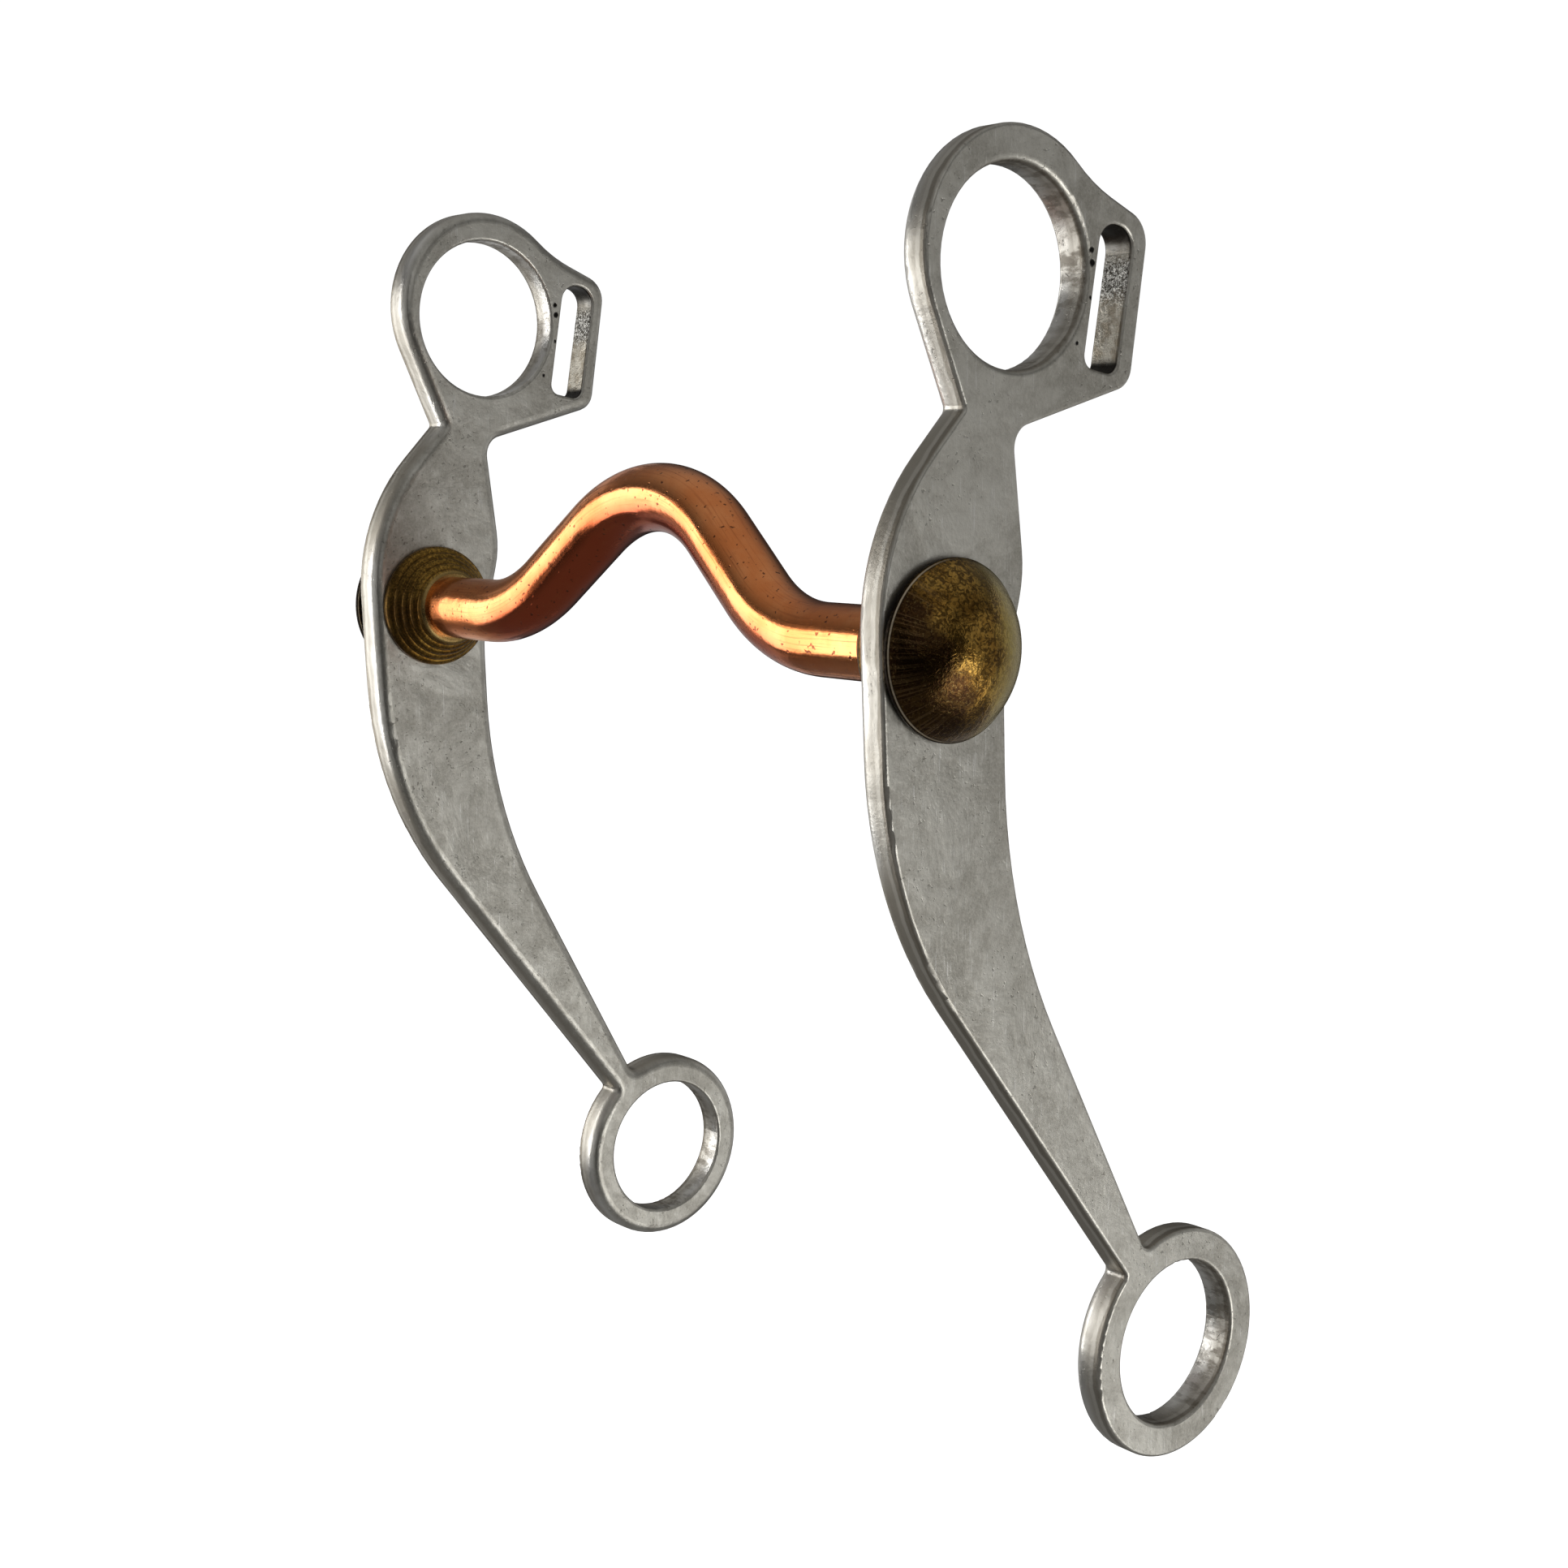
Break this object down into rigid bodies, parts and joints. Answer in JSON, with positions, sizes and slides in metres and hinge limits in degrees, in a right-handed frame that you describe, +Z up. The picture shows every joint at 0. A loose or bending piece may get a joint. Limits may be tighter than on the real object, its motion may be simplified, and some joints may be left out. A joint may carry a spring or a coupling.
{
  "type": "curb bit",
  "caption": "Loose-cheek curb bit: ported round mouthpiece between two flat shanks with cheek rings, curb-strap slots and rein rings, held by domed caps.",
  "frame": {"origin": "on the shanks' pivot axis, half way between the shanks", "axes": "+X along the mouthpiece to the left shank, +Y back towards the rider (the way the shanks sweep), +Z up towards the cheek rings"},
  "size_m": [0.1532, 0.0817, 0.1986],
  "materials": {
    "shank_steel": "satin, hand polished, slightly pitted",
    "mouth_copper": "satin copper",
    "antique_brass": "antiqued, brushed",
    "pin_steel": "turned"
  },
  "bodies": {
    "mouthpiece": {"mouthpiece_bar": "mouth_copper", "left_collar": "antique_brass", "left_dome_cap": "antique_brass", "left_pivot_pin": "pin_steel", "left_dome_washer": "pin_steel", "right_collar": "antique_brass", "right_dome_cap": "antique_brass", "right_pivot_pin": "pin_steel", "right_dome_washer": "pin_steel"},
    "left_cheek": {"left_shank": "shank_steel"},
    "right_cheek": {"right_shank": "shank_steel"}
  },
  "joints": [
    {"name": "left_cheek_swivel", "type": "hinge", "parent": "mouthpiece", "child": "left_cheek", "pos_m": [0.0662, 0, 0], "axis": [1, 0, 0], "continuous": true},
    {"name": "right_cheek_swivel", "type": "hinge", "parent": "mouthpiece", "child": "right_cheek", "pos_m": [-0.0662, 0, 0], "axis": [1, 0, 0], "continuous": true}
  ]
}
